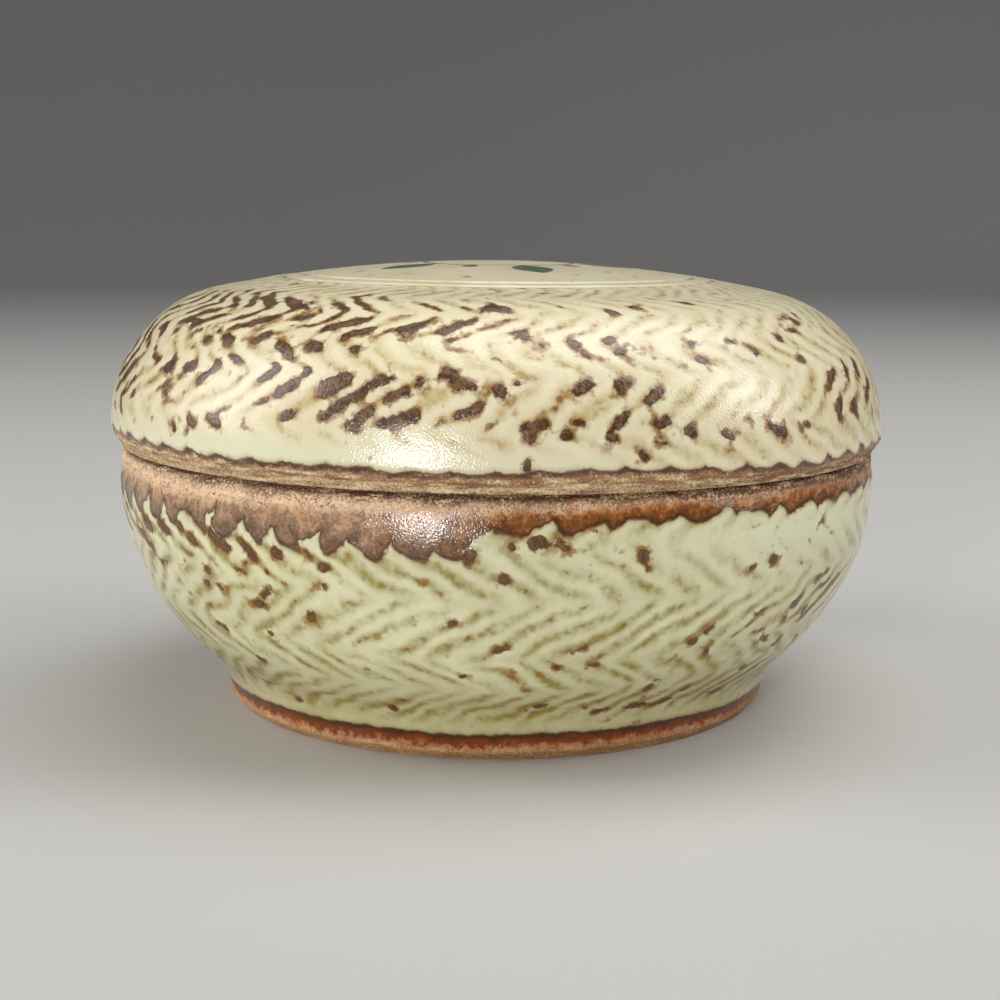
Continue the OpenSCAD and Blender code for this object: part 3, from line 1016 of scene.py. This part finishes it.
# %% [markdown]
# ## Glaze edges
# Two distances kept on the mesh say how far a place lies inside the clay limit and inside the pale glaze.
# The group turns them into masks: bare clay, the brown band between the two, and a dark line along the
# pale glaze, where it ran thin and took up iron. The strokes shift the pale limit: on the lid as arches
# with sharp notches, on the left of the bowl as pointed teeth. Across runs from 0 to 1 over the brown
# band. Painted masks would do too, but distances can be frayed and shifted by other fields.


# %% Glaze edge group
def glaze_edges(place, clay, pale, tooth, phase, scallop, width):
    """Masks of the glaze, of the pale glaze, its dark line and its thin edge, and the way over the band."""
    half_turn = math.pi * phase
    teeth = 1.0 - 2.0 * calc("ABSOLUTE", calc("SINE", half_turn))
    arches = 2.0 * calc("ABSOLUTE", calc("COSINE", half_turn)) - 1.0
    fray = cloud(place, 0.8)
    fine_fray = cloud(place, 0.25)
    bared = clay + 1.6 * fray + 0.7 * fine_fray
    inner = pale + tooth * between(scallop, teeth, arches) + 0.4 * fray + 0.12 * fine_fray
    return {
        "Glazed": ramp(bared, -0.60, 0.60), "Pale": ramp(inner, -0.10, 0.18),
        "Line": ramp(inner, -width, -0.35 * width) - ramp(inner, 0.0, 0.26),
        "Across": bared / calc("MAXIMUM", bared - inner, 0.05), "Thin": ramp(inner, 0.65, 0.0),
    }


edge_group = build_group("glaze edges", glaze_edges, "Place", "Clay Pale Tooth Phase Scallop Width")

# %% [markdown]
# ## Bare clay
# Where it was wiped clean, the clay fired to a sandy brown with fine pale and dark grains. Its colour
# changes from the glaze's edge towards the seam and across the piece: on the bowl the darker clay by the
# seam is painted shade under the lid's lip, and on both pieces the lighter left side is partly the clay's
# own tone and partly painted light. Noise gives the grains, and noise drawn out level gives the streaks
# that turning left; a picture of clay would tile and repeat.

# %% Bare clay group
STREAK_STRETCH = (0.22, 0.22, 1.6)


def bare_clay(place, away, near, far, sand, shade):
    """The clay's colour, and the height of its grains."""
    drawn = add_node("VectorMath", (place, STREAK_STRETCH), operation="MULTIPLY")[0]
    streak = cloud(drawn, 0.6, 3.0)
    grain = cloud(place, 0.22)
    pits = cloud(place, 0.20)
    # Away carries painted light on the left side and, on the bowl, painted shade by the seam.
    smear = away + 1.6 * cloud(place, 2.8) + 2.2 * streak
    colour = tint(ramp(smear, 0.0, 1.0), near, far)
    colour = tint(0.9 * ramp(grain + 0.9 * streak, -0.05, 0.25), colour, sand)
    colour = tint(0.9 * ramp(pits - 0.5 * streak, -0.03, 0.26), colour, shade)
    return {"Color": colour, "Height": grain - pits}


clay_group = build_group("bare clay", bare_clay, "Place", "Away", "Near Far Sand Shade")

# %% [markdown]
# ## Pale glaze
# The ash glaze is thin and milky: creamy where it lies over slip, greener and deeper in the gaps, and
# deeper still where it ran down towards the foot. Where it lies thick, as a veil, it hides the gaps and
# turns to milk. Its surface is satin, with a fine orange-peel that breaks up the highlights. One flat
# colour would look like house paint, so noise moves it between slip and pool.

# %% Pale glaze group
MILK = paint(224, 225, 190)
GLAZE_ROUGHNESS = 0.18
PEEL_SIZE = 0.17


def pale_glaze(place, trough, run, veil, slip, pool, tan):
    """The glaze's colour, its roughness, and the height of its orange-peel."""
    mottle = cloud(place, 1.1)
    shown = 1.0 - 0.85 * veil
    pooled = (0.78 * trough + (0.6 * cloud(place, 6.0) + 0.13) + 0.40 * mottle) * shown + run
    colour = tint(pooled, slip, pool)
    stained = ramp(cloud(place, 0.9), -0.02, 0.24) * ramp(trough, 0.3, 0.9) * (0.55 * shown)
    colour = tint(stained, colour, tan)
    colour = tint(0.6 * ramp(veil, 0.4, 1.0), colour, MILK)
    peel = cloud(place, PEEL_SIZE, 1.0)
    return {"Color": colour, "Roughness": GLAZE_ROUGHNESS + 0.10 * mottle, "Height": peel}


glaze_group = build_group("pale glaze", pale_glaze, "Place", "Trough Run Veil", "Slip Pool Tan")

# %% [markdown]
# ## Enamel sprigs
# The roundel on top is ringed by two cut lines and carries a small overglaze ornament. Here it is a plain
# wreath of five leaves with veins, washed in two greens, and berries on short stalks between them. Enamel
# lies a little proud of the glaze, so the group also says where it is raised. Folding the angle into five
# equal parts draws one leaf and repeats it; leaves made as separate meshes would stand too proud.

# %% Enamel sprig group
LEAVES = 5
SECTOR = FULL_TURN / LEAVES
LEAF_MIDDLE = 10.4
LEAF_LENGTH = 3.0
LEAF_WIDTH = 1.7
BERRY_RADIUS = 8.6
BERRY_SIZE = 0.75
STEM_RADIUS = 7.2
SIDE_VEINS_APART = 1.0


def enamel_sprigs(place):
    """Masks of the leaves, their lighter wash, the berries, the brown lines, and all of these together."""
    x, y, _ = add_node("SeparateXYZ", (place,))
    radius = calc("SQRT", x * x + y * y) + 0.5 * cloud(place, 1.6)
    from_leaf = calc("PINGPONG", calc("ARCTAN2", y, x), SECTOR / 2)
    sideways = from_leaf * radius
    outward = (radius - LEAF_MIDDLE) / LEAF_LENGTH
    margin = LEAF_WIDTH * (1.0 - outward * outward) - sideways
    leaf = ramp(margin, 0.0, 0.16)
    slant = calc("PINGPONG", radius - 0.9 * sideways, SIDE_VEINS_APART / 2)
    side_vein = ramp(slant, 0.14, 0.05) * ramp(margin, 0.15, 0.4)
    vein = calc("MAXIMUM", ramp(sideways, 0.22, 0.12), side_vein)
    berry_side = (SECTOR / 2 - from_leaf) * radius
    berry_out = radius - BERRY_RADIUS
    berry_far = calc("SQRT", berry_out * berry_out + berry_side * berry_side)
    berry = ramp(berry_far, BERRY_SIZE + 0.08, BERRY_SIZE - 0.08)
    berry_edge = ramp(berry_far, BERRY_SIZE - 0.16, BERRY_SIZE - 0.04)
    past_ring = ramp(radius, STEM_RADIUS - 0.1, STEM_RADIUS + 0.1)
    brown = ramp(calc("ABSOLUTE", radius - STEM_RADIUS), 0.26, 0.14)
    for line in (
        vein * leaf,
        ramp(margin, -0.22, -0.08) * ramp(margin, 0.16, 0.0),
        ramp(berry_side, 0.18, 0.08) * ramp(berry_out, 0.0, -0.2) * past_ring,
        ramp(berry_far, BERRY_SIZE + 0.12, BERRY_SIZE) * berry_edge,
    ):
        brown = calc("MAXIMUM", brown, line)
    washed = ramp(cloud(place, 0.9) + 0.12 * outward, -0.18, 0.22)
    raised = calc("MAXIMUM", calc("MAXIMUM", leaf, berry), brown)
    return {"Green": leaf, "Light": washed, "Red": berry, "Brown": brown, "Raised": raised}


enamel_group = build_group("enamel sprigs", enamel_sprigs, "Place")

# %% [markdown]
# ## The two stonewares
# Bowl and lid are the same clay and glaze, so one function builds both materials from the shared groups,
# in the order in which the real layers lie: clay, brown band, pale glaze, faint gap stain, warm halo,
# dark iron. The lid's colours are a little warmer, and it has the enamel on top. Separate materials
# written out twice would soon differ by accident.

# %% Bands and enamel
ENAMEL_DEPTH = 3.0
LEAF_DARK = paint(34, 92, 58)
LEAF_LIGHT = paint(98, 144, 88)
BERRY_RED = paint(150, 36, 28)
LINE_BROWN = paint(78, 46, 32)
GROOVE_BROWN = paint(112, 76, 44)


def rim_brown(place, across, side):
    """The brown band at the rim, from clay to pale glaze: greyer on the left, redder on the right."""
    streak = across + 1.8 * cloud(place, 1.0) + 1.6 * cloud(place, 0.3)
    warm = ramp(side + 60.0 * cloud(place, 4.0), -16.0, 8.0)
    upper = tint(warm, paint(194, 152, 114), paint(180, 114, 60))
    middle = tint(warm, paint(148, 116, 90), paint(138, 84, 36))
    lower = tint(warm, paint(106, 78, 54), paint(100, 56, 22))
    return tint(ramp(streak, 0.50, 1.10), tint(ramp(streak, 0.0, 0.50), upper, middle), lower)


def foot_brown(place, across):
    """The orange-red band above the foot, darker towards the glaze."""
    streak = across + 0.9 * cloud(place, 1.6)
    colour = tint(ramp(streak, -0.1, 0.5), paint(164, 82, 24), paint(122, 54, 10))
    return tint(ramp(streak, 0.5, 1.0), colour, paint(66, 38, 4))


def enamelled(place, height, groove, glaze):
    """The glaze with enamel and stained grooves on the roundel, and where the enamel is raised."""
    enamel = place_group(enamel_group, {"Place": place})
    on_top = ramp(height, LID_TOP - ENAMEL_DEPTH, LID_TOP - ENAMEL_DEPTH + 0.4)
    leaf_green = tint(enamel["Light"], LEAF_DARK, LEAF_LIGHT)
    for label, colour in (("Green", leaf_green), ("Red", BERRY_RED), ("Brown", LINE_BROWN)):
        glaze = tint(enamel[label] * on_top, glaze, colour)
    stained = groove * ramp(cloud(place, 3.0), -0.3, 0.2)
    return tint(0.8 * stained, glaze, GROOVE_BROWN), enamel["Raised"] * on_top


# %% Stoneware material
FOOT_SAND = paint(186, 138, 80)
EDGE_BROWN = paint(74, 38, 12)
IRON_ROUGHNESS = 0.28
ENAMEL_ROUGHNESS = 0.14
BAND_ROUGHNESS = 0.18
CLAY_ROUGHNESS = 0.78
GRAIN_HEIGHT = 0.00006


def stoneware(name, strokes, glazes, clays, irons, settings):
    """The material of one piece, from its count of strokes, its named colours and its named settings."""
    material = bpy.data.materials.new(name)
    material.use_nodes = True
    tree = material.node_tree
    where = add_node("TexCoord", tree=tree)[3]
    place = add_node("VectorMath", (where, 1 / MM), (0, "Scale"), operation="SCALE")[0]
    side, _, height = add_node("SeparateXYZ", (place,))
    rope_map = add_node("UVMap", tree=tree, uv_map="rope")[0]
    field = {}
    for label in FIELDS:
        field[label] = add_node("Attribute", tree=tree, attribute_name=label + "_field")[2]

    rope = place_group(rope_group, {
        "Rope": rope_map, "Place": place, "Strokes": strokes, "Turning": field["turning"],
        "Iron": field["iron"], "Strength": field["rope"],
    })
    edges = place_group(edge_group, {
        "Place": place, "Clay": field["clay"], "Pale": field["pale"], "Tooth": field["tooth"],
        "Phase": rope["Phase"] - UPRIGHT * field["lean"], "Scallop": field["scallop"],
        "Width": settings["line"],
    })
    dots = place_group(spot_group, {
        "Place": place, "Mark": field["mark"], "Bars": rope["Bars"], "Gap": rope["Gap"],
        "Follow": settings["follow"], "Bleed": settings["bleed"],
    })
    # Painted light and shade on bare clay: the side term makes both pieces' clay lighter on the left,
    # partly its own tone and partly painted light. The seam term darkens the bowl's clay away from the
    # glaze, which by the rim is painted shade under the lid's lip; on the lid it lightens it, its own tone.
    away = settings["side_light_and_tone"] * side + 0.1 + settings["seam"] * field["clay"]
    away = between(0.85 * field["hidden"], away, settings["hidden"])
    clay = place_group(clay_group, {"Place": place, "Away": away, **clays})
    glaze = place_group(glaze_group, {
        "Place": place, "Trough": rope["Trough"], "Run": 0.39 * ramp(height, 13.0, 2.0),
        "Veil": field["veil"], **glazes,
    })

    low_down = ramp(height, 12.0, 6.0)
    bare = tint(0.55 * low_down, clay["Color"], FOOT_SAND)
    band = tint(low_down, rim_brown(place, edges["Across"], side), foot_brown(place, edges["Across"]))
    pale = tint(0.45 * edges["Thin"], glaze["Color"], glazes["Tan"])
    pale = tint(settings["rust"] * rope["Rust"], pale, irons["rust"])
    pale = tint(0.6 * dots["Stain"], pale, glazes["Tan"])
    pale = tint(0.80 * dots["Halo"], pale, irons["halo"])
    worn = dots["Core"] + 2.6 * cloud(place, 0.28) + 2.0 * cloud(place, 0.9)
    burnt = tint(ramp(worn, -0.5, 0.6), irons["halo"], irons["dark"])
    burnt = tint(ramp(worn, 0.5, 1.5), burnt, irons["core"])
    pale = tint(dots["Dark"], pale, burnt)
    raised = 0.0
    if settings["enamel"]:
        pale, raised = enamelled(place, height, field["groove"], pale)
    colour = tint(edges["Pale"], band, pale)
    colour = tint(settings["outline"] * edges["Line"], colour, EDGE_BROWN)
    colour = tint(edges["Glazed"], bare, colour)

    shine = between(dots["Dark"], glaze["Roughness"], IRON_ROUGHNESS)
    shine = between(raised, shine, ENAMEL_ROUGHNESS)
    shine = between(edges["Pale"], BAND_ROUGHNESS, shine)
    shine = between(edges["Glazed"], CLAY_ROUGHNESS, shine)
    bumps = between(edges["Glazed"], 1.6 * clay["Height"], 0.52 * glaze["Height"])
    bumps = bumps + 0.25 * dots["Dark"] + 0.4 * (worn * dots["Dark"]) + 0.6 * raised
    shader = tree.nodes["Principled BSDF"]
    for label, wire in (
        ("Base Color", colour), ("Roughness", shine), ("Coat Weight", settings["coat"] * dots["Dark"]),
        ("Normal", add_node("Bump", (bumps, GRAIN_HEIGHT), ("Height", "Distance"))[0]),
    ):
        tree.links.new(wire.socket, shader.inputs[label])
    shader.inputs["IOR"].default_value = 1.58
    shader.inputs["Coat Roughness"].default_value = 0.35
    shader.inputs["Coat IOR"].default_value = 1.8
    return material


# %% [markdown]
# ## Colours and settings
# Each piece gives the material its own colours: slip, pool and tan for the glaze; near the glaze, far
# from it, sand and shade for the clay; halo, dark, core and rust for the iron. The settings say how fast
# bare clay changes across the piece per mm, which makes its left side lighter, partly its own tone and
# partly painted light; how it changes away from the glaze, which on the bowl is painted shade by the seam;
# which colour hidden clay keeps; how far marks follow the gaps and bleed; how much rust and gloss the
# iron has; and how wide and strong the dark line is.

# %% Stoneware of the bowl and the lid
bowl_finish = stoneware(
    "bowl stoneware",
    BOWL_STROKES,
    {"Slip": paint(230, 227, 188), "Pool": paint(158, 144, 70), "Tan": paint(150, 114, 46)},
    # The bowl's clay colours are partly painted light: the pale near colour shows on the lit left, and the
    # dark far colour is partly painted shade on the right and painted shade by the seam under the lid.
    {
        "Near": paint(242, 203, 166), "Far": paint(98, 60, 34),
        "Sand": paint(246, 216, 174), "Shade": paint(92, 58, 34),
    },
    {
        "halo": paint(148, 94, 18), "dark": paint(76, 42, 0),
        "core": paint(122, 84, 22), "rust": paint(142, 104, 36),
    },
    # The side term lightens the clay on the left, partly painted light; the seam term darkens it by the rim
    # as painted shade.
    {
        "side_light_and_tone": 0.026, "seam": -0.9, "hidden": 0.25, "follow": 0.15, "bleed": 0.34, "rust": 0.6,
        "coat": 0.15, "line": 0.35, "outline": 0.65, "enamel": False,
    },
)
lid_finish = stoneware(
    "lid stoneware",
    LID_STROKES,
    {"Slip": paint(240, 231, 196), "Pool": paint(196, 174, 116), "Tan": paint(172, 128, 62)},
    {
        "Near": paint(150, 104, 68), "Far": paint(204, 170, 126),
        "Sand": paint(242, 224, 184), "Shade": paint(104, 70, 42),
    },
    {
        "halo": paint(138, 90, 34), "dark": paint(66, 34, 0),
        "core": paint(122, 90, 58), "rust": paint(146, 106, 52),
    },
    # The side term lightens the lid's clay on the left, partly painted light; its seam term lightens the
    # lip's clay, its own tone.
    {
        "side_light_and_tone": -0.012, "seam": -0.6, "hidden": 0.7, "follow": 0.42, "bleed": 0.46, "rust": 0.8,
        "coat": 0.25, "line": 0.60, "outline": 0.85, "enamel": True,
    },
)
for piece, material in ((bowl_piece, bowl_finish), (lid_piece, lid_finish)):
    piece.data.materials.append(material)
    print(piece.name, "nodes in its material:", len(material.node_tree.nodes))

# %% [markdown]
# ## Joining the frame
# Each mesh stands for one CAD solid and moves with its body, so lifting the lid in the model lifts this
# lid too. Parenting the meshes by hand would also move them, but then the frame's own checks couldn't see
# them.

# %% Ride on the frame
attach(bowl_piece, "body")
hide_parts("body")
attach(lid_piece, "lid")
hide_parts("lid")
